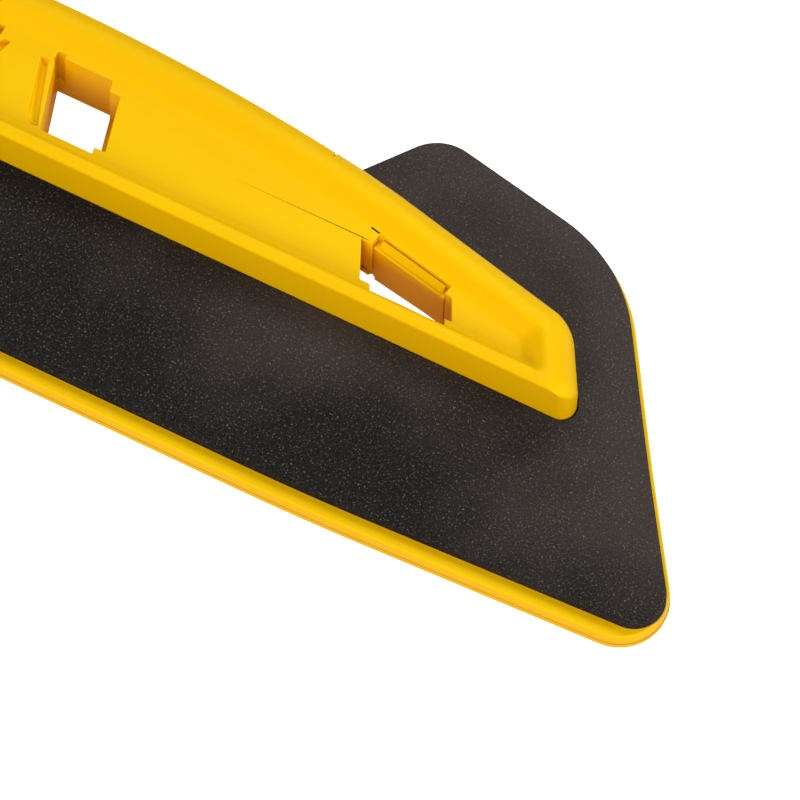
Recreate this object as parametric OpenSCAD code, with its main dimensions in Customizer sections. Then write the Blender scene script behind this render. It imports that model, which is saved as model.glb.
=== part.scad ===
// Wide hand applicator: a foam-topped squeegee plate with a low clipped-on grip.
// Units are millimetres. X runs along the working edge, +Y away from it, +Z up.
// The origin is on the contact face, under the middle of the plate.

/* [Plate] */
// Overall length along the working edge
plate_len = 303.5; // [252:0.5:365]
// Overall depth from the working edge to the tops of the ears
plate_dep = 78; // [65:0.5:94]
// Thickness of the stiff carrier plate
plate_t = 2.9; // [2:0.1:4]
// Thickness of the soft contact sheet under it
sheet_t = 1.4; // [1:0.1:2.5]
// Lean of the two slanted ends, from square, in degrees
end_lean = 33.2; // [25:0.1:38]
// How far the working edge turns back at its two ends, in degrees
edge_sweep = 2.7; // [0.5:0.1:5]
// Radius of the front corners
front_r = 9; // [5:0.5:12]
// Radius of the outer ear corners
outer_r = 32; // [20:1:38]
// Radius of the inner ear corners
ear_r = 9.7; // [6:0.5:13]

/* [Foam] */
// Thickness of the foam pad
foam_t = 3; // [2:0.1:5]
// Width of bare plate left in front of the foam
front_ledge = 2.8; // [1:0.1:5]
// Width of bare plate left round the other edges
side_ledge = 0.95; // [0.5:0.05:2.5]

/* [Grip] */
// Room along the flank between the grip's tips and the plate's slanted ends
grip_end_gap = 15.7; // [9:0.1:34]
// Depth of the grip from its front flank to the crown of its back
grip_dep = 30.2; // [26:0.1:36]
// Height of the grip's rim above the contact face
grip_h = 17.8; // [14.8:0.1:22]
// Depth of the recess in the top
recess_dep = 2.3; // [1:0.1:3]
// Wall thickness of the moulding
wall = 2.2; // [1.6:0.1:2.6]
// Radius that the back of the grip is swept to
back_r = 430; // [360:5:600]

/* [Hidden] */
$fn = 48;

yellow = [1.0, 0.80, 0.03];
black = [0.16, 0.15, 0.16];
film_t = 0.1;
fit_gap = 0.15;
eps = 0.01;
layer = 0.1;                 // thickness of the slices that hulls are stretched over

// ---- heights of the stack
plate_z = sheet_t + film_t;
top_z = plate_z + plate_t;
foam_z = top_z + film_t;
web_z = grip_h - recess_dep;

// ---- plate outline
front_y = -plate_dep / 2;
ear_y = plate_dep / 2;
sx = plate_len / 303.5;
sweep_x = 83 * sx;           // where the front edge turns back
ear_fall = 10.75;            // slope of the ears' back edges, degrees
ear_in_lean = 35.5;          // lean of the ears' inner sides, degrees
ear_peak_x = 73.1 * sx;      // sharp inner corner of an ear
ear_cap = 0.7;               // what its rounding takes off the ear's height
// a sharp front corner lies beyond the overall length by what its rounding takes off
front_half = (90 - end_lean + edge_sweep) / 2;
front_x = plate_len / 2 - front_r + front_r * cos(front_half - edge_sweep) / sin(front_half);
front_corner = [front_x, front_y + (front_x - sweep_x) * tan(edge_sweep)];
waist_in = 0.45;             // how far the slanted ends bow in at their middles
waist_r = 700;

// ---- grip outline
front_flank = -3.1;
back_top = front_flank + grip_dep;
// length between the sharp tips, from the plate's slanted ends at the flank
grip_len = 2 * (front_x - (front_flank - front_corner[1]) * tan(end_lean) - grip_end_gap);
gx = grip_len / 244;
grip_end_lean = 30.5;
back_fall = 12.6;            // slope of the straight stretches of the back, degrees
arc_half = 66 * gx;          // half length of the swept stretch
line_x = 74 * gx;            // where the straight stretches begin
fence_half = 60 * sx;        // half length of the plate's back fence
fence_t = 1.1;
fence_drop = 1.4;            // the fence stops this far below the rim
fence_in = 0.7;              // the fence's outer face, in from the grip's back

function back_y(x, d = 0) = back_top - d - x * x / (2 * back_r);
line_y = back_y(arc_half) - (line_x - arc_half) * tan((back_fall + 8.5) / 2);

// point where the line through p, leaning a from +Y towards the middle, meets the line
// through q that falls outwards at angle b
function lean_meets_fall(p, a, q, b) =
  let (t = (q[1] - (p[0] - q[0]) * tan(b) - p[1]) / (1 - tan(a) * tan(b)))
  [p[0] - t * tan(a), p[1] + t];

function mirrored(p) = [-p[0], p[1]];
function unit(v) = v / norm(v);

// move each edge i of a closed anticlockwise path inwards by d[i]
function shift_edges(p, d) = [
  for (i = [0:len(p) - 1])
    let (
      n = len(p),
      a = p[(i + n - 1) % n], b = p[i], c = p[(i + 1) % n],
      u = unit(b - a), v = unit(c - b),
      du = d[(i + n - 1) % n], dv = d[i],
      pu = b + du * [-u[1], u[0]], pv = b + dv * [-v[1], v[0]],
      det = u[0] * v[1] - u[1] * v[0],
      w = pv - pu
    )
    abs(det) < 1e-6 ? pv : pu + u * (w[0] * v[1] - w[1] * v[0]) / det
];

// round the corners of a closed path, corner i to radius r[i]
function rounded(p, r, n = 10) = [
  for (i = [0:len(p) - 1])
    let (
      m = len(p),
      a = unit(p[(i + m - 1) % m] - p[i]), c = unit(p[(i + 1) % m] - p[i]),
      half = acos(max(-1, min(1, a * c))) / 2,
      reach = r[i] / tan(half),
      q = p[i] + a * reach,
      mid = p[i] + unit(a + c) * r[i] / sin(half),
      start = q - mid,
      side = sign(a[0] * c[1] - a[1] * c[0]),
      turn = -side * (180 - 2 * half)
    )
    each r[i] == 0 ? [p[i]] : [
      for (k = [0:n])
        let (t = turn * k / n)
        mid + [start[0] * cos(t) - start[1] * sin(t), start[0] * sin(t) + start[1] * cos(t)]
    ]
];

// ---- sharp paths, anticlockwise from the left front corner
outer_ear = lean_meets_fall(
  front_corner, end_lean, [ear_peak_x, ear_y + ear_cap], ear_fall
);
ear_peak = [ear_peak_x, ear_y + ear_cap];
waist = (front_corner + outer_ear) / 2 - waist_in * [cos(end_lean), sin(end_lean)];
ear_root = [fence_half, back_y(fence_half, fence_in)];
notch_arc = [
  for (k = [3:-1:-3])
    [k * fence_half / 4, back_y(k * fence_half / 4, fence_in)]
];
plate_path = concat(
  [mirrored(front_corner), [-sweep_x, front_y], [sweep_x, front_y], front_corner],
  [waist, outer_ear, ear_peak, ear_root],
  notch_arc,
  [mirrored(ear_root), mirrored(ear_peak), mirrored(outer_ear), mirrored(waist)]
);
plate_round = concat(
  [front_r, 600, 600, front_r, waist_r, outer_r, ear_r, 2],
  [for (p = notch_arc) 0], [2, ear_r, outer_r, waist_r]
);
foam_shift = concat(
  [for (k = [1:3]) front_ledge], [for (k = [1:4]) side_ledge],
  [for (p = notch_arc) 0], [0], [for (k = [1:4]) side_ledge]
);

foam_front_r = front_r - 3.2;

tip = [grip_len / 2, front_flank];
grip_corner = lean_meets_fall(tip, grip_end_lean, [line_x, line_y], back_fall);
back_arc = [
  for (k = [4:-1:-4])
    [k * arc_half / 4, back_y(k * arc_half / 4)]
];
grip_path = concat(
  [mirrored(tip), tip, grip_corner, [line_x, line_y]],
  back_arc,
  [[-line_x, line_y], mirrored(grip_corner)]
);
grip_sides = len(grip_path);

// the grip outline drawn in by separate amounts at the front, ends and back
function grip_outline(front, end, back, tip_r, corner_r) =
  let (
    d = [for (i = [0:grip_sides - 1]) i == 0 ? front : (i == 1 || i == grip_sides - 1) ? end : back],
    r = [for (i = [0:grip_sides - 1])
      (i < 2) ? tip_r : (i == 2 || i == grip_sides - 1) ? corner_r : 0]
  )
  rounded(shift_edges(grip_path, d), r, 6);

// ---- shoulders, rim and recess
rim_front = 2.5;
rim_end = 6.1;
rim_back = 5.4;
shoulder_end = [5.2, 6.5];   // width and drop of the rounded shoulder at the ends
shoulder_back = [3.6, 4.0];  // the same along the back
recess_slope = [1.5, 3.1, 2.6];

// ---- windows: near and far corners, leaning towards the middle
win_front = front_flank + rim_front + recess_slope[0] - 0.4;
function window_path(x0, x1, lean0, lean1, y0, dep0, dep1) = [
  [x0, y0], [x1, y0], [x1 - dep1 * tan(lean1), y0 + dep1], [x0 - dep0 * tan(lean0), y0 + dep0]
];
inner_dep = grip_dep * 0.49;
outer_dep = grip_dep * 0.304;
inner_window = window_path(
  10 * gx, 20.7 * gx, 17, 14.2, win_front + 1.6, inner_dep, inner_dep
);
inner_notch = window_path(
  15 * gx, 22.6 * gx, 13, 14.4, win_front + 2.9, inner_dep - 3.5, inner_dep - 3.5
);
outer_window = window_path(
  77.9 * gx, 93 * gx, 23.2, 27, win_front - 0.3, outer_dep + 0.3, outer_dep - 3.05
);
outer_notch = window_path(
  75.1 * gx, 93.6 * gx, 25, 27, win_front + 1.4, outer_dep - 1.6, outer_dep - 4.9
);
grip_windows = [inner_window, inner_notch, outer_window, outer_notch];
// the plate and sheet stand back from the far walls of the windows
plate_windows = [
  shift_edges(inner_window, [0, 0, -0.5, 0]), outer_window, shift_edges(outer_notch, [0, 0, -0.9, 0])
];
// relief in the far wall of an inner window, at its inner corner
relief = [1.7, 0.9];
relief_z = 6;
chimney = 1.5;
// groove beside an inner window: width and depth at its near and far ends
groove_ridge = 0.85;
groove_near = [2.2, 0.7];
groove_far = [1.5, 1.8];
groove_room = [0.3, 1.4];    // kept clear of the window's near and far corners
groove_foot = 0.3;
tongue_t = 1.9;
tongue_gap = 0.05;
// the strip behind an outer window that a plate tongue stands in
tongue_slot = let (
    a = outer_window[3], b = outer_window[2],
    back = unit([-(b - a)[1], (b - a)[0]])
  )
  [a, b, b + back * tongue_t, a + back * tongue_t];
tongue_run = norm(outer_window[2] - outer_window[3]);
tongue_fall = atan((outer_window[3][1] - outer_window[2][1]) / (outer_window[2][0] - outer_window[3][0]));
tongue_h = web_z - 2.4;
tongue_low = 0.5;            // the tongues are rooted this deep in the plate
catch = 0.6;
catch_z = tongue_h - 4;
// wedge on top of a tongue: front, back, height at the front and back, room at each end
wedge = [0.45, 1.75, 0.35, 1.6, 0.9];
// small round relief at the root of each tongue
root_r = 0.7;
root_spot = outer_window[3] + [-0.3, 0.35];
root_top = 6;

// ---- screws
screw_r = 1.45;
screw_head_r = 2.75;
screw_head_h = 1.6;
screw_l = 9.5;
boss_r = 3.1;
screw_spots = [
  [0, 6.7], [44 * gx, 9.5], [-44 * gx, 9.5], [102 * gx, 4.3], [-102 * gx, 4.3]
];
rib_spots = [29 * gx, 60 * gx, 98.5 * gx];
rib_t = 1.4;

module both_sides() {
  children();
  mirror([1, 0, 0]) children();
}

module window_shafts(paths, z0, z1, grow = 0) {
  both_sides()
    translate([0, 0, z0])
      linear_extrude(z1 - z0)
        for (p = paths) polygon(shift_edges(p, [-grow, -grow, -grow, -grow]));
}

module root_reliefs(z0, z1) {
  both_sides()
    translate([root_spot[0], root_spot[1], z0]) cylinder(h = z1 - z0, r = root_r);
}

// small pockets in the far walls of the inner windows
module reliefs(grow = 0) {
  both_sides()
    translate([inner_window[3][0] - grow, inner_window[3][1] - 1 - grow, relief_z - grow])
      cube([relief[0] + 2 * grow, relief[1] + 1 + 2 * grow, grip_h]);
}

module tongue_space(z0, z1, grow) {
  both_sides()
    translate([0, 0, z0])
      linear_extrude(z1 - z0)
        polygon(shift_edges(tongue_slot, [-grow, -grow, -grow, -grow]));
}

module grip_body() {
  steps = 6;
  hull() {
    translate([0, 0, top_z])
      linear_extrude(grip_h - shoulder_end[1] - top_z)
        polygon(grip_outline(0, 0, 0, 3, 8));
    for (k = [0:steps]) {
      t = 90 * k / steps;
      in_end = shoulder_end[0] * (1 - cos(t));
      in_back = shoulder_back[0] * (1 - cos(t));
      low = shoulder_back[1] * (1 - sin(t));
      low_end = shoulder_end[1] * (1 - sin(t));
      translate([0, 0, grip_h - low - layer])
        linear_extrude(layer)
          polygon(grip_outline(0, in_end + 0.45 * (low_end - low), in_back, 3 + k * 0.3, 8 - k * 0.4));
    }
  }
}

module grip_recess() {
  web_in = [rim_front + recess_slope[0], rim_end + recess_slope[1], rim_back + recess_slope[2]];
  hull() {
    translate([0, 0, web_z])
      linear_extrude(layer)
        polygon(grip_outline(web_in[0], web_in[1], web_in[2], 0.4, 0.6));
    translate([0, 0, grip_h])
      linear_extrude(1)
        polygon(grip_outline(rim_front, rim_end, rim_back, 1.2, 2));
  }
}

// groove along the inner side of a window, deepest against the ridge left beside the window
module groove(p) {
  a = p[0] + [-groove_ridge, groove_room[0]];
  b = p[3] - [groove_ridge, groove_room[1]];
  hull()
    for (end = [[a, groove_near], [b, groove_far]])
      translate([end[0][0], end[0][1], web_z]) rotate([90, 0, 0])
        linear_extrude(layer)
          polygon([
            [0, 1], [-end[1][0], 1], [-end[1][0], 0],
            [-groove_foot, -end[1][1]], [0, -end[1][1]]
          ]);
}

module grip() {
  cavity_top = web_z - wall;
  color(yellow)
    difference() {
      grip_body();
      grip_recess();
      both_sides() groove(inner_window);
      difference() {
        // hollow under the web, with its chimneys, bosses and ribs left standing
        translate([0, 0, top_z - 1])
          linear_extrude(cavity_top - top_z + 1)
            polygon(grip_outline(wall, wall + 0.6, wall + 1.4, 1, 5));
        window_shafts(grip_windows, top_z - 1, cavity_top + 1, chimney);
        reliefs(chimney);
        tongue_space(top_z - 1, cavity_top + 1, chimney);
        for (s = screw_spots)
          translate([s[0], s[1], top_z - 1]) cylinder(h = cavity_top - top_z + 2, r = boss_r);
        both_sides()
          for (x = rib_spots)
            translate([x - rib_t / 2, front_flank, top_z + 1.5])
              cube([rib_t, grip_dep, cavity_top - top_z]);
      }
      window_shafts(grip_windows, top_z - 1, grip_h + 1);
      reliefs();
      tongue_space(top_z - 1, grip_h + 1, tongue_gap);
      root_reliefs(top_z - 1, root_top);
      // pocket that the tongue's catch springs into
      both_sides()
        translate([tongue_slot[3][0], tongue_slot[3][1], catch_z - 0.3])
          rotate([0, 0, -tongue_fall])
            translate([2, -0.2, 0])
              cube([tongue_run - 4, catch + 0.5, 2.6]);
      // rebate that the plate's back fence stands in
      translate([0, 0, top_z - 1])
        intersection() {
          translate([-fence_half - 0.1, 0, 0]) cube([2 * fence_half + 0.2, 60, grip_h]);
          difference() {
            translate([-200, 0, 0]) cube([400, 80, grip_h + 2]);
            translate([0, back_top - fence_in - fence_t - fit_gap - back_r, -1])
              cylinder(h = grip_h + 4, r = back_r, $fn = 360);
          }
        }
      for (s = screw_spots)
        translate([s[0], s[1], top_z - 1]) cylinder(h = screw_l - 0.4, r = screw_r + 0.05);
    }
}

module plate_solid(z, t) {
  translate([0, 0, z])
    linear_extrude(t)
      polygon(rounded(plate_path, plate_round, 12));
}

module back_fence() {
  translate([0, 0, plate_z])
    intersection() {
      translate([-fence_half + 0.1, 0, 0])
        cube([2 * fence_half - 0.2, 60, grip_h - fence_drop - plate_z]);
      difference() {
        translate([0, back_top - fence_in - back_r, 0])
          cylinder(h = grip_h, r = back_r - eps, $fn = 360);
        translate([0, back_top - fence_in - fence_t - back_r, -1])
          cylinder(h = grip_h + 2, r = back_r, $fn = 360);
      }
    }
}

// across: points of a section, as [distance behind the window, height]
module tongue_bar(across, start, run) {
  translate([outer_window[3][0], outer_window[3][1], 0])
    rotate([0, 0, -tongue_fall])
      translate([start + run, 0, 0])
        rotate([90, 0, -90])
          mirror([1, 0, 0]) linear_extrude(run) polygon(across);
}

module tongue() {
  low = plate_z + tongue_low;
  tongue_bar([[0, low], [tongue_t, low], [tongue_t, tongue_h], [0, tongue_h]], 0, tongue_run);
  tongue_bar(
    [[wedge[0], tongue_h - 1], [wedge[1], tongue_h - 1], [wedge[1], tongue_h + wedge[3]],
     [wedge[0], tongue_h + wedge[2]]],
    wedge[4], tongue_run - 2 * wedge[4]
  );
  // catch that holds the grip down
  tongue_bar(
    [[1, catch_z], [tongue_t + catch, catch_z], [tongue_t + catch, catch_z + 0.6], [1, catch_z + 1.8]],
    2.4, tongue_run - 4.8
  );
}

module base_plate() {
  color(yellow) {
    difference() {
      plate_solid(plate_z, plate_t);
      window_shafts(plate_windows, plate_z - 1, top_z + 1);
      root_reliefs(plate_z - 1, top_z + 1);
      for (s = screw_spots)
        translate([s[0], s[1], plate_z]) {
          translate([0, 0, -1]) cylinder(h = plate_t + 2, r = screw_r + 0.1);
          translate([0, 0, -eps]) cylinder(h = screw_head_h + eps, r1 = screw_head_r + 0.1, r2 = screw_r + 0.1);
        }
    }
    back_fence();
    difference() {
      both_sides() tongue();
      root_reliefs(0, root_top);
    }
  }
}

// flat outline of the foam: the plate's outline drawn in, less the grip's footprint
module foam_outline() {
  difference() {
    polygon(rounded(
      shift_edges(plate_path, foam_shift),
      concat(
        [foam_front_r, 600, 600, foam_front_r, waist_r, outer_r - side_ledge, ear_r - side_ledge, 0],
        [for (p = notch_arc) 0], [0, ear_r - side_ledge, outer_r - side_ledge, waist_r]
      ),
      12
    ));
    polygon(grip_outline(-0.2, -0.2, -0.2, 3, 8));
    translate([-fence_half - 0.3, back_top - 12]) square([2 * fence_half + 0.6, 24]);
  }
}

module foam_pad() {
  color(black)
    translate([0, 0, foam_z]) linear_extrude(foam_t) foam_outline();
}

module foam_adhesive_film() {
  color("gainsboro")
    translate([0, 0, top_z]) linear_extrude(film_t) foam_outline();
}

module contact_sheet() {
  color(yellow)
    difference() {
      plate_solid(0, sheet_t);
      window_shafts(plate_windows, -1, sheet_t + 1);
      root_reliefs(-1, sheet_t + 1);
    }
}

module sheet_adhesive_film() {
  color("gainsboro")
    difference() {
      plate_solid(sheet_t, film_t);
      window_shafts(plate_windows, sheet_t - 1, plate_z + 1, 0.5);
      root_reliefs(sheet_t - 1, plate_z + 1);
    }
}

module grip_screws() {
  color("silver")
    for (s = screw_spots)
      translate([s[0], s[1], plate_z])
        difference() {
          union() {
            cylinder(h = screw_head_h, r1 = screw_head_r, r2 = screw_r);
            cylinder(h = screw_l - 1.5, r = screw_r);
            translate([0, 0, screw_l - 1.5]) cylinder(h = 1.5, r1 = screw_r, r2 = 0.2);
          }
          // cross recess
          for (a = [0, 90])
            rotate([0, 0, a]) translate([-1.5, -0.3, -1]) cube([3, 0.6, 1.9]);
        }
}

grip();
base_plate();
foam_pad();
foam_adhesive_film();
contact_sheet();
sheet_adhesive_film();
grip_screws();
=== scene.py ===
import math

import bpy
from mathutils import Matrix, Vector


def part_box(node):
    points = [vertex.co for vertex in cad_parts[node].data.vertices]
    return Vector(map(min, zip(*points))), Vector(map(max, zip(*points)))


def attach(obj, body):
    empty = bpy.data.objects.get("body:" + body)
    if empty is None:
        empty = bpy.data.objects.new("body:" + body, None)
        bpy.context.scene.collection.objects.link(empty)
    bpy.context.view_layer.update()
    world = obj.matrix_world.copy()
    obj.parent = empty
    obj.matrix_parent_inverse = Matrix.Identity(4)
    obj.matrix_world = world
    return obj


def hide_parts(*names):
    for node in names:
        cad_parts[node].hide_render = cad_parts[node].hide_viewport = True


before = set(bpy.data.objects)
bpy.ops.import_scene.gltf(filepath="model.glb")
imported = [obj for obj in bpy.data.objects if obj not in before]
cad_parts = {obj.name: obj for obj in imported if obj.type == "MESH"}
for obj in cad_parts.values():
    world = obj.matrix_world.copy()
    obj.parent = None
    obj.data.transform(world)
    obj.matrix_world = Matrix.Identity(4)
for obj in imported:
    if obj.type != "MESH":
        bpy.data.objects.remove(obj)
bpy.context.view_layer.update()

mm = 0.001
scene = bpy.context.scene

# heights that the frame fixes, in millimetres above the contact face
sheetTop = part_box("contact_sheet")[1].z / mm
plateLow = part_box("sheet_adhesive_film")[1].z / mm
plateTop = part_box("foam_adhesive_film")[0].z / mm
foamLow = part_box("foam_pad")[0].z / mm
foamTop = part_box("foam_pad")[1].z / mm
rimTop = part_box("grip")[1].z / mm

plateShape = {
    "length": (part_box("contact_sheet")[1].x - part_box("contact_sheet")[0].x) / mm,
    "front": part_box("contact_sheet")[0].y / mm,
    "earPeak": (73.1, 39.7),    # before it is rounded
    "sweepStart": 83,    # where the working edge turns back
    "sweep": 2.7,        # degrees
    "endLean": 33.2,     # lean of the slanted ends from square
    "earFall": 10.75,    # degrees
    "frontRound": 9,
    "outerRound": 32,
    "earRoot": 60,
    "waistIn": 0.45,     # the slanted ends bow in at their middles
    "waistRound": 700,
    "sweepRound": 600,
    "earRound": 9.7,
    "notchRound": 2,
    "edgeRound": 0.45,
    "cutRound": 0.2,     # on the edges that the cuts leave
}
gripShape = {
    "length": 244.08,    # along the front
    "front": -3.1,
    "depth": 30.2,
    "endLean": 30.5,
    "backFall": 12.6,    # degrees
    "backSweep": 430,    # radius of the swept back
    "arcHalf": 66,
    "arcFall": 8.5,      # degrees, where the sweep ends
    "lineStart": 74,
    "tipRound": 3,
    "cornerRound": 8,
    "shoulderWide": (0.9, 5.2, 3.6),    # front, end, back
    "shoulderDrop": (0.9, 6.5, 4.0),
    "shoulderTighter": (1.4, 3),    # tip and corner
    "rim": (2.5, 6.1, 5.4),
    "rimRound": (1.25, 3.4),    # tip and corner
    "recessSlope": (1.5, 3.1, 2.6),
    "recessTighter": (0.7, 2.4),
    "recessDeep": 2.3,
    "wall": 2.2,
    "edgeRound": 0.22,
}
fence = {    # along the back of the grip, on the plate
    "half": 60,
    "thick": 1.1,
    "inset": 0.7,
    "drop": 1.4,
    "rootDeep": 0.4,
    "endRoom": 0.1,
    "sideRoom": 0.15,
    "foamRoom": 0.3,
}
screws = {
    "spots": [(0, 6.7), (44, 9.5), (-44, 9.5), (102, 4.3), (-102, 4.3)],
    "holeRound": 1.5,
    "holeDeep": 8.1,
    "bossRound": 3.1,
    "headRound": 2.9,
    "headDeep": 1.6,
    "headPast": 0.05,
    "shankRoom": 1.55,
}
past = 1    # cutters run this far past what they cut


# outlines in millimetres, anticlockwise

def flat(x, y):
    return Vector((x, y))


def mirrored(p):
    return flat(-p[0], p[1])


def leanMeetsFall(p, lean, q, fall):
    a, b = math.tan(math.radians(lean)), math.tan(math.radians(fall))
    t = (q[1] - (p[0] - q[0]) * b - p[1]) / (1 - a * b)
    return flat(p[0] - t * a, p[1] + t)


def shiftEdges(path, inward):
    # move each edge of a closed path inwards by its own amount
    moved = []
    count = len(path)
    for i in range(count):
        a, b, c = path[i - 1], path[i], path[(i + 1) % count]
        u, v = (b - a).normalized(), (c - b).normalized()
        pu = b + inward[i - 1] * flat(-u.y, u.x)
        pv = b + inward[i] * flat(-v.y, v.x)
        det = u.x * v.y - u.y * v.x
        w = pv - pu
        moved.append(pv if abs(det) < 1e-6 else pu + u * (w.x * v.y - w.y * v.x) / det)
    return moved


def rounded(path, radii, steps):
    # corner i rounded to radii[i]; a radius of 0 keeps the one point
    out = []
    count = len(path)
    for i, r in enumerate(radii):
        p = path[i]
        if r == 0:
            out.append(p)
            continue
        a, c = (path[i - 1] - p).normalized(), (path[(i + 1) % count] - p).normalized()
        half = math.acos(max(-1, min(1, a.dot(c)))) / 2
        start = a * r / math.tan(half) - (a + c).normalized() * r / math.sin(half)
        middle = p + (a + c).normalized() * r / math.sin(half)
        side = math.copysign(1, a.x * c.y - a.y * c.x)
        turn = -side * (math.pi - 2 * half)
        for k in range(steps + 1):
            out.append(middle + Matrix.Rotation(turn * k / steps, 2) @ start)
    return out


def alongEdges(values, radii, steps):
    # a value for each point of a rounded path: each edge's own, turning smoothly round the corners
    out = []
    for i, r in enumerate(radii):
        if r == 0:
            out.append(values[i])
            continue
        for k in range(steps + 1):
            f = k / steps
            out.append(values[i - 1] * (1 - f) + values[i] * f)
    return out


def backY(x, inset=0):
    g = gripShape
    return g["front"] + g["depth"] - inset - x * x / (2 * g["backSweep"])


def backRun(half, inset=0, steps=12):
    # points along the grip's back, from +half to -half
    xs = [k * half / steps for k in range(steps, -steps - 1, -1)]
    return [flat(x, backY(x, inset)) for x in xs]


def platePath():
    s = plateShape
    half = math.radians((90 - s["endLean"] + s["sweep"]) / 2)
    sweep = math.radians(s["sweep"])
    x = s["length"] / 2 - s["frontRound"] + s["frontRound"] * math.cos(half - sweep) / math.sin(half)
    corner = flat(x, s["front"] + (x - s["sweepStart"]) * math.tan(sweep))
    peak = flat(*s["earPeak"])
    outer = leanMeetsFall(corner, s["endLean"], peak, s["earFall"])
    root = flat(s["earRoot"], backY(s["earRoot"], fence["inset"]))
    notch = backRun(fence["half"], fence["inset"], steps=8)[1:-1]
    start = flat(s["sweepStart"], s["front"])
    lean = math.radians(s["endLean"])
    waist = (corner + outer) / 2 - s["waistIn"] * flat(math.cos(lean), math.sin(lean))
    path = [mirrored(corner), mirrored(start), start, corner, waist, outer, peak, root]
    return path + notch + [mirrored(root), mirrored(peak), mirrored(outer), mirrored(waist)]


def plateRing(inset, z, ledge=(0, 0), tighter=(0, 0)):
    # ledge and tighter are (front, other sides); the notch behind the grip takes neither
    s = plateShape
    path = platePath()
    notches = [0] * (len(path) - 12)
    inward = [ledge[0] + inset] * 3 + [ledge[1] + inset] * 4 + [inset] * (len(notches) + 1)
    inward += [ledge[1] + inset] * 4
    frontRound = s["frontRound"] - tighter[0] - inset
    outerRound, earRound = s["outerRound"] - tighter[1] - inset, s["earRound"] - tighter[1] - inset
    sweepRound, notchRound = s["sweepRound"], s["notchRound"] - inset
    radii = [frontRound, sweepRound, sweepRound, frontRound]
    radii += [s["waistRound"], outerRound, earRound, notchRound]
    radii += notches + [notchRound, earRound, outerRound, s["waistRound"]]
    points = rounded(shiftEdges(path, inward), radii, 12)
    return [(p.x, p.y, z) for p in points]


def gripPath():
    g = gripShape
    tip = flat(g["length"] / 2, g["front"])
    run = g["lineStart"] - g["arcHalf"]
    lineY = backY(g["arcHalf"]) - run * math.tan(math.radians((g["backFall"] + g["arcFall"]) / 2))
    line = flat(g["lineStart"], lineY)
    corner = leanMeetsFall(tip, g["endLean"], line, g["backFall"])
    return [mirrored(tip), tip, corner, line] + backRun(g["arcHalf"]) + [mirrored(line), mirrored(corner)]


def gripRing(inset, drop, tipRound, cornerRound, steps=10, level=None):
    # inset and drop are (front, ends, back); drop is measured down from the rim
    path = gripPath()
    count = len(path)
    side = [0 if i == 0 else 1 if i in (1, count - 1) else 2 for i in range(count)]
    radii = [tipRound if i < 2 else cornerRound if i in (2, count - 1) else 0 for i in range(count)]
    points = rounded(shiftEdges(path, [inset[k] for k in side]), radii, steps)
    if level is not None:
        return [(p.x, p.y, level) for p in points]
    drops = alongEdges([drop[k] for k in side], radii, steps)
    return [(p.x, p.y, rimTop - d) for p, d in zip(points, drops)]


def windowPath(sides, leans, front, depths):
    # each pair is (inner side, outer side)
    a, b = (math.tan(math.radians(v)) for v in leans)
    return [flat(sides[0], front), flat(sides[1], front), flat(sides[1] - depths[1] * b, front + depths[1]),
            flat(sides[0] - depths[0] * a, front + depths[0])]


tongue = {    # the snap tongue behind each outer window
    "thick": 1.9,
    "belowWeb": 2.4,
    "foot": 0.5,
    "wedgeFront": (0.45, 0.35),    # how far behind the window and above the tongue
    "wedgeBack": (1.75, 1.6),
    "wedgeRoom": 0.9,
    "slotRoom": 0.05,
    "rootPlace": (-0.3, 0.35),
    "rootRound": 0.7,
    "rootTop": 6,
}
windowShape = {
    "recessBite": 0.4,
    "innerShare": 0.49,      # depths as shares of the grip's
    "outerShare": 0.304,
    "plateInner": 0.5,       # how much deeper the plate's openings run
    "plateNotch": 0.9,
    "relief": (1.7, 0.9),    # pocket in the far inner corner of an inner window
    "reliefLow": 6,
}
recessFront = gripShape["front"] + gripShape["rim"][0] + gripShape["recessSlope"][0]
windowFront = recessFront - windowShape["recessBite"]
innerDeep = gripShape["depth"] * windowShape["innerShare"]
outerDeep = gripShape["depth"] * windowShape["outerShare"]
windows = {
    "inner": windowPath((10, 20.7), (17, 14.2), windowFront + 1.6, (innerDeep, innerDeep)),
    "innerNotch": windowPath((15, 22.6), (13, 14.4), windowFront + 2.9, (innerDeep - 3.5, innerDeep - 3.5)),
    "outer": windowPath((77.9, 93), (23.2, 27), windowFront - 0.3, (outerDeep + 0.3, outerDeep - 3.05)),
    "outerNotch": windowPath((75.1, 93.6), (25, 27), windowFront + 1.4, (outerDeep - 1.6, outerDeep - 4.9)),
}
plateWindows = [shiftEdges(windows["inner"], [0, 0, -windowShape["plateInner"], 0]), windows["outer"],
                shiftEdges(windows["outerNotch"], [0, 0, -windowShape["plateNotch"], 0])]
farIn, farOut = windows["outer"][3], windows["outer"][2]
slotOut = (farOut - farIn).normalized()
slotBack = flat(-slotOut.y, slotOut.x)
slotLong = (farOut - farIn).length
tongueSlot = [farIn, farOut, farOut + slotBack * tongue["thick"], farIn + slotBack * tongue["thick"]]
tongueTop = rimTop - gripShape["recessDeep"] - tongue["belowWeb"]
rootSpot = farIn + flat(*tongue["rootPlace"])
reliefWide, reliefDeep = windowShape["relief"]
pocket = ((0, -past), (reliefWide, -past), (reliefWide, reliefDeep), (0, reliefDeep))
reliefPath = [windows["inner"][3] + flat(*p) for p in pocket]


def selectOnly(obj):
    bpy.ops.object.select_all(action="DESELECT")
    obj.select_set(True)
    bpy.context.view_layer.objects.active = obj


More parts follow.
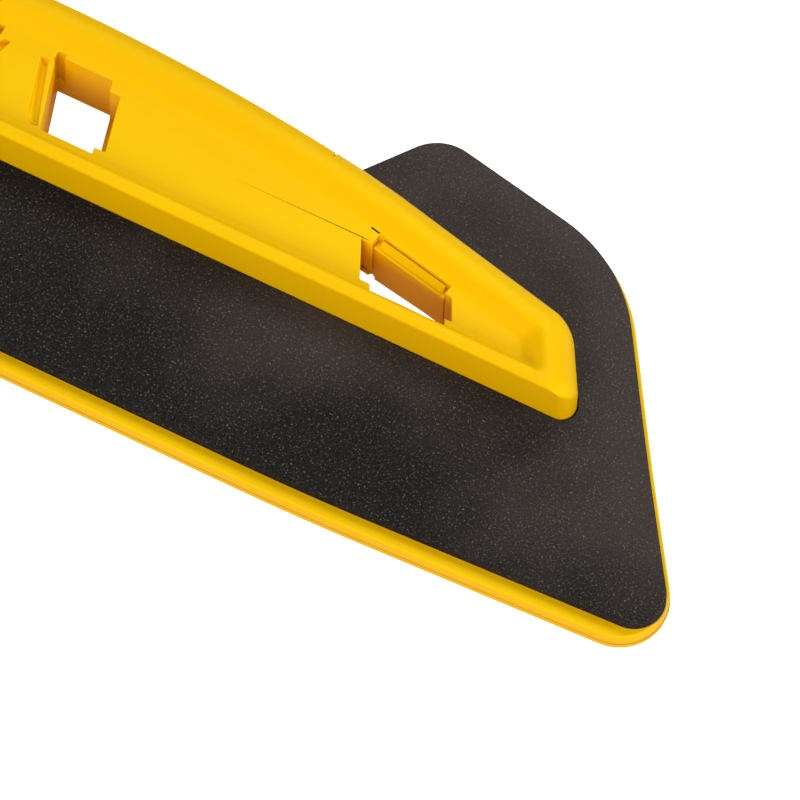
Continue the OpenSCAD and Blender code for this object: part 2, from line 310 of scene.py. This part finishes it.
def ringSolid(name, rings):
    # a closed solid: a filled circle takes the shape of the first ring and is extruded ring by ring
    fine = 1e5    # points are matched to a hundred-thousandth of a millimetre
    bpy.ops.object.select_all(action="DESELECT")
    bpy.ops.mesh.primitive_circle_add(vertices=len(rings[0]), radius=1, fill_type="NGON")
    obj = bpy.context.object
    obj.name = name
    mesh = obj.data
    for vert, p in zip(mesh.vertices, rings[0]):
        vert.co = Vector(p) * mm
    bpy.ops.object.mode_set(mode="EDIT")
    bpy.ops.mesh.select_mode(type="FACE")
    bpy.ops.mesh.select_all(action="SELECT")
    for low, high in zip(rings, rings[1:]):
        place = {tuple(round(c * fine) for c in p): q for p, q in zip(low, high)}
        bpy.ops.mesh.extrude_region()
        bpy.ops.object.mode_set(mode="OBJECT")
        for vert in mesh.vertices:
            if vert.select:
                key = tuple(round(c / mm * fine) for c in vert.co)
                near = place.get(key)
                if near is None:
                    near = min(place.items(), key=lambda e: sum((a - b) ** 2 for a, b in zip(e[0], key)))[1]
                vert.co = Vector(near) * mm
        bpy.ops.object.mode_set(mode="EDIT")
    bpy.ops.mesh.select_all(action="SELECT")
    bpy.ops.mesh.normals_make_consistent(inside=False)
    bpy.ops.object.mode_set(mode="OBJECT")
    return obj


def prism(name, path, low, high):
    return ringSolid(name, [[(p[0], p[1], z) for p in path] for z in (low, high)])


def combine(obj, tool, how="DIFFERENCE"):
    mod = obj.modifiers.new("Combine", "BOOLEAN")
    mod.operation = how
    mod.solver = "EXACT"
    mod.object = tool
    selectOnly(obj)
    bpy.ops.object.modifier_apply(modifier=mod.name)
    bpy.data.objects.remove(tool)


def cutBothSides(obj, path, low, high):
    for side in (path, [mirrored(p) for p in reversed(path)]):
        combine(obj, prism("cutter", side, low, high))


def splitFlats(obj):
    # cross cuts through every hole to come, so that no face has to close round one
    selectOnly(obj)
    bpy.ops.object.mode_set(mode="EDIT")
    innerMiddle, outerMiddle = 15, 84
    across = [0]
    for x in (innerMiddle, screws["spots"][1][0], outerMiddle, screws["spots"][3][0]):
        across += [x, -x]
    for x in across:
        bpy.ops.mesh.select_all(action="SELECT")
        bpy.ops.mesh.bisect(plane_co=(x * mm, 0, 0), plane_no=(1, 0, 0))
    for y in sorted({y for x, y in screws["spots"]}):
        bpy.ops.mesh.select_all(action="SELECT")
        bpy.ops.mesh.bisect(plane_co=(0, y * mm, 0), plane_no=(0, 1, 0))
    bpy.ops.object.mode_set(mode="OBJECT")


def ringsBothSides(obj, rings, how="DIFFERENCE"):
    for side in (1, -1):
        combine(obj, ringSolid("cutter", [[(side * x, y, z) for x, y, z in ring] for ring in rings]), how)


def grown(path, by):
    return shiftEdges(path, [-by] * len(path))


def finishEdges(obj, width, segments=3):
    # merge what the cuts left, then round every sharp edge
    merge, sharp, smooth = 0.00002, 40, 32    # metres, then degrees
    selectOnly(obj)
    bpy.ops.object.mode_set(mode="EDIT")
    bpy.ops.mesh.select_all(action="SELECT")
    bpy.ops.mesh.remove_doubles(threshold=merge)
    bpy.ops.object.mode_set(mode="OBJECT")
    mod = obj.modifiers.new("Edges", "BEVEL")
    mod.width = width * mm
    mod.segments = segments
    mod.limit_method = "ANGLE"
    mod.angle_limit = math.radians(sharp)
    mod.use_clamp_overlap = False
    mod.miter_outer = "MITER_ARC"
    bpy.ops.object.modifier_apply(modifier=mod.name)
    bpy.ops.object.shade_smooth_by_angle(angle=math.radians(smooth))
    mod = obj.modifiers.new("Normals", "WEIGHTED_NORMAL")
    mod.keep_sharp = True
    bpy.ops.object.modifier_apply(modifier=mod.name)


def roundedStack(ring, low, high, radius, steps=5):
    # rings of a slab whose upper edge is rounded over and whose lower edge is eased
    ease = 0.12
    rings = [ring(ease, low), ring(0, low + ease)]
    for k in range(steps + 1):
        a = math.pi / 2 * k / steps
        rings.append(ring(radius * (1 - math.cos(a)), high - radius * (1 - math.sin(a))))
    return rings


view = {
    "azimuth": 24.5,
    "elevation": 64.16,
    "roll": 2.75,
    "aim": (0.0894, -0.0095, 0),
    "distance": 1.8,
    "wide": 0.1444,    # what the frame takes in at the tool, in metres
}


def makeCamera():
    azimuth, elevation, roll = (math.radians(view[k]) for k in ("azimuth", "elevation", "roll"))
    back = Vector((math.sin(azimuth) * math.cos(elevation), -math.cos(azimuth) * math.cos(elevation),
                   math.sin(elevation)))
    right = Vector((math.cos(azimuth), math.sin(azimuth), 0))
    up = back.cross(right)
    turnedRight = right * math.cos(roll) + up * math.sin(roll)
    turnedUp = up * math.cos(roll) - right * math.sin(roll)
    data = bpy.data.cameras.new("camera")
    data.sensor_width = 36
    data.lens = data.sensor_width * view["distance"] / view["wide"]
    data.clip_end = 10
    camera = bpy.data.objects.new("camera", data)
    scene.collection.objects.link(camera)
    place = Matrix((turnedRight, turnedUp, back)).transposed().to_4x4()
    place.translation = Vector(view["aim"]) + back * view["distance"]
    camera.matrix_world = place
    scene.camera = camera


makeCamera()
print("camera placed")


def newMaterial(name):
    mat = bpy.data.materials.new(name)
    mat.use_nodes = True
    tree = mat.node_tree
    return mat, tree, tree.nodes["Principled BSDF"]


def addNode(tree, kind, links=(), **values):
    # links are (input, socket it comes from); values set the node's own settings or its inputs
    node = tree.nodes.new("ShaderNode" + kind)
    for title, value in values.items():
        if hasattr(node, title):
            setattr(node, title, value)
        else:
            node.inputs[title.replace("_", " ")].default_value = value
    for title, source in links:
        tree.links.new(source, node.inputs[title])
    return node


def ramp(tree, source, stops):
    # stops are (place, colour or grey)
    node = tree.nodes.new("ShaderNodeValToRGB")
    tree.links.new(source, node.inputs["Fac"])
    marks = node.color_ramp.elements
    while len(marks) < len(stops):
        marks.new(0.5)
    for mark, (place, colour) in zip(marks, stops):
        mark.position = place
        mark.color = (*colour, 1) if isinstance(colour, tuple) else (colour, colour, colour, 1)
    return node.outputs["Color"]


def newGroup(name, inputs, outputs):
    group = bpy.data.node_groups.new(name, "ShaderNodeTree")
    for title, kind, value in inputs:
        socket = group.interface.new_socket(name=title, in_out="INPUT", socket_type="NodeSocket" + kind)
        if value is not None:
            socket.default_value = value
    for title in outputs:
        group.interface.new_socket(name=title, in_out="OUTPUT", socket_type="NodeSocketFloat")
    return group, group.nodes.new("NodeGroupInput").outputs, group.nodes.new("NodeGroupOutput").inputs


def mouldedGroup():
    # fine sparked grain of the mould and the slow drift of colour along the flow
    group, given, out = newGroup("mouldedSkin", [("Place", "Vector", None), ("Grain Size", "Float", 3000.0)],
                                 ["Grain", "Flow"])
    grain = addNode(group, "TexNoise", [("Vector", given["Place"]), ("Scale", given["Grain Size"])],
                    Detail=3.0, Roughness=0.65)
    pits = addNode(group, "TexVoronoi", [("Vector", given["Place"]), ("Scale", given["Grain Size"])])
    both = addNode(group, "Math", [(0, grain.outputs["Fac"]), (1, pits.outputs["Distance"])],
                   operation="MULTIPLY_ADD")
    both.inputs[2].default_value = 0.1
    stretch = addNode(group, "Mapping", [("Vector", given["Place"])], Scale=(14.0, 52.0, 40.0))
    flow = addNode(group, "TexNoise", [("Vector", stretch.outputs["Vector"])],
                   Scale=1.0, Detail=4.0, Distortion=0.6)
    group.links.new(both.outputs[0], out["Grain"])
    group.links.new(flow.outputs["Fac"], out["Flow"])
    return group


def edgeGroup():
    # 1 on worn edges, broken up along them
    group, given, out = newGroup("edgeWear", [("Place", "Vector", None), ("Width", "Float", 0.0004)],
                                 ["Mask"])
    soft = addNode(group, "Bevel", [("Radius", given["Width"])], samples=4)
    face = addNode(group, "NewGeometry")
    same = addNode(group, "VectorMath", [(0, soft.outputs["Normal"]), (1, face.outputs["Normal"])],
                   operation="DOT_PRODUCT")
    bend = addNode(group, "MapRange", [("Value", same.outputs["Value"])])
    bend.inputs["From Min"].default_value = 0.995
    bend.inputs["From Max"].default_value = 0.90
    broken = addNode(group, "TexNoise", [("Vector", given["Place"])], Scale=420.0, Detail=5.0)
    mask = addNode(group, "Math", [(0, bend.outputs["Result"]), (1, broken.outputs["Fac"])],
                   operation="MULTIPLY")
    group.links.new(mask.outputs[0], out["Mask"])
    return group


def dustGroup():
    # sparse pale specks
    group, given, out = newGroup("fineDust", [("Place", "Vector", None), ("Amount", "Float", 0.5)], ["Mask"])
    cells = addNode(group, "TexVoronoi", [("Vector", given["Place"])], Scale=700.0)
    speck = ramp(group, cells.outputs["Distance"], [(0.05, 1.0), (0.16, 0.0)])
    patch = addNode(group, "TexNoise", [("Vector", given["Place"])], Scale=60.0, Detail=3.0)
    some = ramp(group, patch.outputs["Fac"], [(0.5, 0.0), (0.72, 1.0)])
    both = addNode(group, "Math", [(0, speck), (1, some)], operation="MULTIPLY")
    mask = addNode(group, "Math", [(0, both.outputs[0]), (1, given["Amount"])], operation="MULTIPLY")
    group.links.new(mask.outputs[0], out["Mask"])
    return group


groups = {"skin": mouldedGroup(), "edge": edgeGroup(), "dust": dustGroup()}


def useGroup(tree, name, place, **values):
    node = tree.nodes.new("ShaderNodeGroup")
    node.node_tree = groups[name]
    tree.links.new(place, node.inputs["Place"])
    for title, value in values.items():
        node.inputs[title.replace("_", " ")].default_value = value
    return node.outputs


def mixColour(tree, factor, under, over):
    node = tree.nodes.new("ShaderNodeMix")
    node.data_type = "RGBA"
    for socket, value in ((node.inputs["Factor"], factor), (node.inputs[6], under), (node.inputs[7], over)):
        if isinstance(value, (int, float)):
            socket.default_value = value
        elif isinstance(value, tuple):
            socket.default_value = (*value, 1)
        else:
            tree.links.new(value, socket)
    return node.outputs[2]


def bump(tree, shader, height, strength, deep):
    node = addNode(tree, "Bump", [("Height", height)], Strength=strength, Distance=deep * mm)
    tree.links.new(node.outputs["Normal"], shader.inputs["Normal"])


plasticFinish = {    # grain is how deep the mould's texture is, in millimetres
    "gripPlastic": {
        "colour": (0.93, 0.565, 0.0),
        "drift": (0.89, 0.525, 0.0),
        "rough": (0.36, 0.46),
        "grain": 0.010,
    },
    "platePlastic": {
        "colour": (0.94, 0.585, 0.0),
        "drift": (0.90, 0.54, 0.0),
        "rough": (0.30, 0.42),
        "grain": 0.007,
    },
    "sheetPlastic": {
        "colour": (0.93, 0.56, 0.004),
        "drift": (0.88, 0.51, 0.002),
        "rough": (0.5, 0.62),
        "grain": 0.014,
    },
    "worn": (1.0, 0.66, 0.03),
    "dust": (0.95, 0.8, 0.45),
    "sheen": (1.0, 0.72, 0.16),
}


def yellowPlastic(name):
    s = plasticFinish[name]
    mat, tree, shader = newMaterial(name)
    place = addNode(tree, "TexCoord").outputs["Object"]
    skin = useGroup(tree, "skin", place, Grain_Size=2600.0)
    edge = useGroup(tree, "edge", place, Width=0.00035)
    dust = useGroup(tree, "dust", place, Amount=0.10)
    colour = mixColour(tree, ramp(tree, skin["Flow"], [(0.38, 0.0), (0.64, 1.0)]), s["colour"], s["drift"])
    pale = mixColour(tree, edge["Mask"], colour, plasticFinish["worn"])
    dusty = mixColour(tree, dust["Mask"], pale, plasticFinish["dust"])
    tree.links.new(dusty, shader.inputs["Base Color"])
    low, high = s["rough"]
    tree.links.new(ramp(tree, skin["Grain"], [(0.1, low), (0.6, high)]), shader.inputs["Roughness"])
    shader.inputs["Specular IOR Level"].default_value = 0.25
    shader.inputs["Specular Tint"].default_value = (*plasticFinish["sheen"], 1)
    bump(tree, shader, skin["Grain"], 0.5, s["grain"])
    return mat


foamFinish = {
    # dark is the foam's own black, light is the colour of its painted sheen
    "dark": (0.005, 0.004, 0.0036),
    "light": (0.085, 0.066, 0.062),
    "speck": (0.24, 0.21, 0.20),
    "cells": 1500.0,
    "fineness": 1.7,            # of the mottle, against the cells
    # painted sheen: the foam is painted paler along and across the tool, in place of the sheen from a light
    # at the back right
    "paintedSheen": (2.5, 9.5, 0),     # grows along and across the tool, per metre
    "mottle": 0.38,
    "bump": 0.10,
}


def foamBlack():
    # closed-cell foam with a skived face: tiny open cells that catch the light
    s = foamFinish
    mat, tree, shader = newMaterial("foamBlack")
    place = addNode(tree, "TexCoord").outputs["Object"]
    cells = addNode(tree, "TexVoronoi", [("Vector", place)], Scale=s["cells"], Randomness=1.0)
    fine = addNode(tree, "TexNoise", [("Vector", place)], Scale=s["cells"] * s["fineness"],
                   Detail=4.0, Roughness=0.7)
    broad = addNode(tree, "TexNoise", [("Vector", place)], Scale=22.0, Detail=3.0, Roughness=0.55)
    # painted sheen: paler towards the ends and the back, as a light at the back right would make it, over a
    # broad random mottle
    drift = addNode(tree, "VectorMath", [(0, place)], operation="DOT_PRODUCT")
    drift.inputs[1].default_value = s["paintedSheen"]
    paintedSheen = addNode(tree, "Math", [(0, broad.outputs["Fac"]), (1, drift.outputs["Value"])], operation="ADD")
    # tone runs from the foam's own black up to the painted sheen
    tone = mixColour(tree, ramp(tree, paintedSheen.outputs[0], [(0.50, 0.0), (1.0, 1.0)]), s["dark"], s["light"])
    grey = ramp(tree, fine.outputs["Fac"], [(0.32, 0.001), (0.72, 0.058)])
    mottled = mixColour(tree, s["mottle"], tone, grey)
    spark = ramp(tree, fine.outputs["Fac"], [(0.59, 0.0), (0.74, 1.0)])
    colour = mixColour(tree, spark, mottled, s["speck"])
    tree.links.new(colour, shader.inputs["Base Color"])
    rough = ramp(tree, cells.outputs["Distance"], [(0.0, 0.78), (0.7, 0.97)])
    tree.links.new(rough, shader.inputs["Roughness"])
    shader.inputs["Specular IOR Level"].default_value = 0.12
    height = addNode(tree, "Math", [(0, cells.outputs["Distance"]), (1, fine.outputs["Fac"])],
                     operation="ADD")
    bump(tree, shader, height.outputs[0], 0.8, s["bump"])
    return mat


def clearFilm():
    # thin milky adhesive with a little haze
    mat, tree, shader = newMaterial("adhesiveFilm")
    place = addNode(tree, "TexCoord").outputs["Object"]
    haze = addNode(tree, "TexNoise", [("Vector", place)], Scale=260.0, Detail=4.0)
    dust = useGroup(tree, "dust", place, Amount=0.5)
    colour = mixColour(tree, haze.outputs["Fac"], (0.62, 0.37, 0.02), (0.74, 0.47, 0.05))
    tree.links.new(mixColour(tree, dust["Mask"], colour, (0.6, 0.55, 0.45)), shader.inputs["Base Color"])
    tree.links.new(ramp(tree, haze.outputs["Fac"], [(0.3, 0.3), (0.7, 0.55)]), shader.inputs["Roughness"])
    bump(tree, shader, haze.outputs["Fac"], 0.3, 0.01)
    return mat


def zincSteel():
    # passivated screws: mottled zinc with a faint drawn grain
    mat, tree, shader = newMaterial("zincSteel")
    place = addNode(tree, "TexCoord").outputs["Object"]
    stretch = addNode(tree, "Mapping", [("Vector", place)], Scale=(900.0, 900.0, 4200.0))
    drawn = addNode(tree, "TexNoise", [("Vector", stretch.outputs["Vector"])], Scale=1.0, Detail=3.0)
    edge = useGroup(tree, "edge", place, Width=0.0002)
    tone = mixColour(tree, drawn.outputs["Fac"], (0.46, 0.47, 0.46), (0.70, 0.69, 0.64))
    tree.links.new(mixColour(tree, edge["Mask"], tone, (0.85, 0.85, 0.83)), shader.inputs["Base Color"])
    tree.links.new(ramp(tree, drawn.outputs["Fac"], [(0.3, 0.26), (0.7, 0.46)]), shader.inputs["Roughness"])
    shader.inputs["Metallic"].default_value = 1
    bump(tree, shader, drawn.outputs["Fac"], 0.25, 0.01)
    return mat


def dress(obj, material):
    obj.data.materials.clear()
    obj.data.materials.append(material)


def shoulderRings(steps=9):
    # up from the plate and over the rounded shoulder to the rim
    g = gripShape
    ease = 0.1
    tipTighter, cornerTighter = g["shoulderTighter"]
    rings = [gripRing((ease, ease, ease), None, g["tipRound"], g["cornerRound"], level=plateTop),
             gripRing((0, 0, 0), None, g["tipRound"], g["cornerRound"], level=plateTop + ease)]
    for k in range(steps + 1):
        a = math.pi / 2 * k / steps
        inset = [w * (1 - math.cos(a)) for w in g["shoulderWide"]]
        drop = [d * (1 - math.sin(a)) for d in g["shoulderDrop"]]
        f = 1 - math.cos(a)
        rings.append(gripRing(inset, drop, g["tipRound"] - tipTighter * f,
                              g["cornerRound"] - cornerTighter * f))
    return rings


def recessRings():
    # down the recess wall, eased over at the top and bottom
    g = gripShape
    ease = (0.22, 0.3)
    (tip, corner), (tipLess, cornerLess) = g["rimRound"], g["recessTighter"]
    profile = []
    for k in range(5):
        t = k / 4
        profile.append((-ease[0] * (1 - t) ** 2 + ease[0] * t * t, ease[0] * t * t))
    for k in range(6):
        t = k / 5
        start, end = (1 - ease[1]) * (1 - t) ** 2, t * t
        both = 2 * t * (1 - t)
        profile.append((start + both + end * (1 + ease[1]), start + both + end))
    rings = []
    for across, down in profile:
        inset = [r + s * across for r, s in zip(g["rim"], g["recessSlope"])]
        deep = g["recessDeep"] * down
        f = max(0, min(1, across))
        rings.append(gripRing(inset, (deep, deep, deep), tip - tipLess * f, corner - cornerLess * f))
    return rings


groove = {    # along the inner side of each inner window
    "ridge": 0.85,
    "near": (2.2, 0.7),    # width and depth
    "far": (1.5, 1.8),
    "nearRoom": 0.3,
    "farRoom": 1.4,
    "nearRound": 1.3,
    "startShare": 0.45,    # how wide it is where it starts
    "over": 0.6,
}


def grooveRings(path):
    # sections along the window's edge: a straight side at the ridge and a hollow floor rising away from it
    s = groove
    start = path[0] + flat(-s["ridge"], s["nearRoom"])
    run = path[3] + flat(-s["ridge"], -s["farRoom"]) - start
    webTop = rimTop - gripShape["recessDeep"]
    rings = []
    for q in (0.04, 0.15, 0.3, 0.5, 0.75, 1):    # along the round start
        full = q * (2 - q)
        place = start + run * (s["nearRound"] * q / run.length)
        rings.append((place, full))
    rings.append((start + run, 1))
    out = []
    for place, full in rings:
        t = (place - start).length / run.length
        wide = s["near"][0] * (1 - t) + s["far"][0] * t
        wide *= s["startShare"] + (1 - s["startShare"]) * full
        deep = (s["near"][1] * (1 - t) + s["far"][1] * t) * full
        ring = [(place.x, place.y, webTop + s["over"])]
        for k in range(8):
            a = math.pi / 2 * k / 7
            ring.append((place.x - wide * math.sin(a), place.y, webTop - deep * math.cos(a)))
        ring.append((place.x - wide, place.y, webTop + s["over"]))
        out.append(ring)
    return out


def tongueBar(section, start, long):
    # a section is a list of (distance behind the window, height)
    rings = []
    for along in (start, start + long):
        foot = farIn + slotOut * along
        rings.append([(foot.x + slotBack.x * b, foot.y + slotBack.y * b, z) for b, z in section])
    return rings


def circlePath(x, y, r, count=32):
    return [flat(x + r * math.cos(2 * math.pi * k / count), y + r * math.sin(2 * math.pi * k / count))
            for k in range(count)]


hollowShape = {
    "extra": (0, 0.6, 1.4),     # wall beyond the common one: front, ends, back
    "corners": (1, 5),          # roundings, tip and corner
    "holeWall": 1.5,            # round the windows and slots
    "ribs": (29, 60, 98.5),
    "ribHalf": 0.7,
    "ribRun": (-3, 28),
    "ribRoom": 1.5,             # above the plate
}


def hollowUnderGrip():
    # the room inside the grip, less its bosses, ribs and window walls
    g, h = gripShape, hollowShape
    webLow = rimTop - g["recessDeep"] - g["wall"]
    low = plateTop - past
    ring = gripRing([g["wall"] + extra for extra in h["extra"]], None, *h["corners"], steps=6, level=0)
    hollow = prism("hollow", ring, low, webLow)
    for path in list(windows.values()) + [tongueSlot, reliefPath]:
        cutBothSides(hollow, grown(path, h["holeWall"]), low - past, webLow + past)
    for x, y in screws["spots"]:
        combine(hollow, prism("boss", circlePath(x, y, screws["bossRound"]), low - past, webLow + past))
    (near, far), half = h["ribRun"], h["ribHalf"]
    for x in h["ribs"]:
        rib = [flat(x - half, near), flat(x + half, near), flat(x + half, far), flat(x - half, far)]
        cutBothSides(hollow, rib, plateTop + h["ribRoom"], webLow + past)
    return hollow


def makeGrip():
    g = gripShape
    grip = ringSolid("gripMoulding", shoulderRings() + recessRings())
    splitFlats(grip)
    combine(grip, hollowUnderGrip())
    low, high = plateTop - past, rimTop + past
    for path in windows.values():
        cutBothSides(grip, path, low, high)
    ringsBothSides(grip, grooveRings(windows["inner"]))
    cutBothSides(grip, reliefPath, windowShape["reliefLow"], high)
    cutBothSides(grip, grown(tongueSlot, tongue["slotRoom"]), low, high)
    cutBothSides(grip, circlePath(rootSpot.x, rootSpot.y, tongue["rootRound"]), low, tongue["rootTop"])
    for x, y in screws["spots"]:
        hole = circlePath(x, y, screws["holeRound"])
        combine(grip, prism("screwHole", hole, low, plateTop + screws["holeDeep"]))
    # rebate along the back for the plate's fence
    half, behind = fence["half"] + fence["endRoom"], 40
    rebate = backRun(half, fence["inset"] + fence["thick"] + fence["sideRoom"])[::-1]
    rebate += [flat(half, behind), flat(-half, behind)]
    combine(grip, prism("rebate", rebate, low, high))
    finishEdges(grip, g["edgeRound"])
    return grip


def makePlate():
    s = plateShape
    plate = ringSolid("carrierPlate", roundedStack(plateRing, plateLow, plateTop, s["edgeRound"]))
    splitFlats(plate)
    for path in plateWindows:
        cutBothSides(plate, path, plateLow - past, plateTop + past)
    half, skin = fence["half"] - fence["endRoom"], 0.02
    outer = backRun(half, fence["inset"] + skin)
    inner = backRun(half, fence["inset"] + fence["thick"])[::-1]
    root, top = plateLow + fence["rootDeep"], rimTop - fence["drop"]
    combine(plate, prism("fence", outer + inner, root, top), "UNION")
    t = tongue
    low, thick = plateLow + t["foot"], t["thick"]
    bar = [(0, low), (thick, low), (thick, tongueTop), (0, tongueTop)]
    ringsBothSides(plate, tongueBar(bar, 0, slotLong), "UNION")
    (front, frontUp), (back, backUp) = t["wedgeFront"], t["wedgeBack"]
    wedge = [(front, tongueTop - past), (back, tongueTop - past), (back, tongueTop + backUp),
             (front, tongueTop + frontUp)]
    ringsBothSides(plate, tongueBar(wedge, t["wedgeRoom"], slotLong - 2 * t["wedgeRoom"]), "UNION")
    cutBothSides(plate, circlePath(rootSpot.x, rootSpot.y, t["rootRound"]), plateLow - past, t["rootTop"])
    # countersunk from below
    head, shank = screws["headRound"], screws["shankRoom"]
    section = [(head, plateLow - screws["headPast"]), (shank, plateLow + screws["headDeep"]),
               (shank, plateTop + past)]
    for x, y in screws["spots"]:
        seat = [[(p.x, p.y, z) for p in circlePath(x, y, r)] for r, z in section]
        combine(plate, ringSolid("screwSeat", seat))
    finishEdges(plate, s["cutRound"])
    return plate


sheetShape = {
    "edgeRound": 0.22,
    "cutRound": 0.15,
}


def makeSheet():
    sheet = ringSolid("contactSheet", roundedStack(plateRing, 0, sheetTop, sheetShape["edgeRound"], steps=3))
    splitFlats(sheet)
    for path in plateWindows + [circlePath(rootSpot.x, rootSpot.y, tongue["rootRound"])]:
        cutBothSides(sheet, path, -past, sheetTop + past)
    finishEdges(sheet, sheetShape["cutRound"], segments=2)
    return sheet


foamShape = {
    "frontLedge": 2.8,
    "sideLedge": 0.95,
    "frontTighter": 3.2,    # the front corners are rounded this much tighter than the plate's
    "edgeRound": 0.45,
    "gripRoom": 0.2,
    "cutRound": 0.2,
}


def makeFoam():
    s, g = foamShape, gripShape
    ledge = (s["frontLedge"], s["sideLedge"])
    tighter = (s["frontTighter"], s["sideLedge"])
    rings = roundedStack(lambda i, z: plateRing(i, z, ledge, tighter), foamLow, foamTop, s["edgeRound"])
    foam = ringSolid("foamPad", rings)
    splitFlats(foam)
    low, high = foamLow - past, foamTop + past
    ring = gripRing([-s["gripRoom"]] * 3, None, g["tipRound"], g["cornerRound"], level=0)
    combine(foam, prism("gripHole", ring, low, high))
    # nothing is left behind the grip's middle
    half = fence["half"] + fence["foamRoom"]
    reach = 12
    near, far = backY(0) - reach, backY(0) + reach
    strip = [flat(-half, near), flat(half, near), flat(half, far), flat(-half, far)]
    combine(foam, prism("backStrip", strip, low, high))
    finishEdges(foam, s["cutRound"], segments=2)
    return foam


grip = makeGrip()
dress(grip, yellowPlastic("gripPlastic"))
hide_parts("grip")
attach(grip, "root")
print("grip made", len(grip.data.polygons))

plate = makePlate()
dress(plate, yellowPlastic("platePlastic"))
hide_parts("base_plate")
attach(plate, "root")
print("plate made", len(plate.data.polygons))

sheet = makeSheet()
dress(sheet, yellowPlastic("sheetPlastic"))
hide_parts("contact_sheet")
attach(sheet, "root")

foam = makeFoam()
dress(foam, foamBlack())
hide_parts("foam_pad")
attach(foam, "root")
print("foam made", len(foam.data.polygons))

film = clearFilm()
for node in ("foam_adhesive_film", "sheet_adhesive_film"):
    dress(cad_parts[node], film)
dress(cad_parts["grip_screws"], zincSteel())


def makeStage():
    bpy.ops.object.select_all(action="DESELECT")
    bpy.ops.mesh.primitive_plane_add(size=6, location=(0, 0, -0.0002))
    floor = bpy.context.object
    floor.name = "floor"
    mat, tree, shader = newMaterial("paleFloor")
    shader.inputs["Base Color"].default_value = (0.35, 0.35, 0.35, 1)
    shader.inputs["Roughness"].default_value = 0.85
    # bright where it is looked at, dimmer as a light on the tool
    seen = addNode(tree, "LightPath").outputs["Is Camera Ray"]
    glow = addNode(tree, "Math", [(0, seen)], operation="MULTIPLY_ADD")
    glow.inputs[1].default_value = 0.8
    glow.inputs[2].default_value = 0.32
    tree.links.new(mixColour(tree, seen, (1.0, 0.66, 0.36), (1.0, 1.0, 1.0)), shader.inputs["Emission Color"])
    tree.links.new(glow.outputs[0], shader.inputs["Emission Strength"])
    dress(floor, mat)
    world = bpy.data.worlds.new("softRoom")
    world.use_nodes = True
    world.node_tree.nodes["Background"].inputs["Color"].default_value = (1, 1, 1, 1)
    world.node_tree.nodes["Background"].inputs["Strength"].default_value = 0.38
    scene.world = world


def softLight(name, place, size, power, tint=(1, 1, 1)):
    # a round soft source turned to the tool
    data = bpy.data.lights.new(name, "AREA")
    data.shape = "DISK"
    data.size = size
    data.energy = power
    data.color = tint
    light = bpy.data.objects.new(name, data)
    scene.collection.objects.link(light)
    light.location = place
    light.rotation_mode = "QUATERNION"
    light.rotation_quaternion = (Vector(place) - Vector((0.05, 0, 0))).to_track_quat("Z", "Y")


makeStage()
softLight("overhead", (0.05, 0.6, 1.1), size=0.6, power=4.4)
softLight("fromRight", (1.2, 0.2, 0.65), size=0.6, power=7.5)
softLight("fromFront", (0.15, -1.1, 0.6), size=0.7, power=9, tint=(1, 0.87, 0.74))
scene.view_settings.view_transform = "Standard"
print("stage lit")
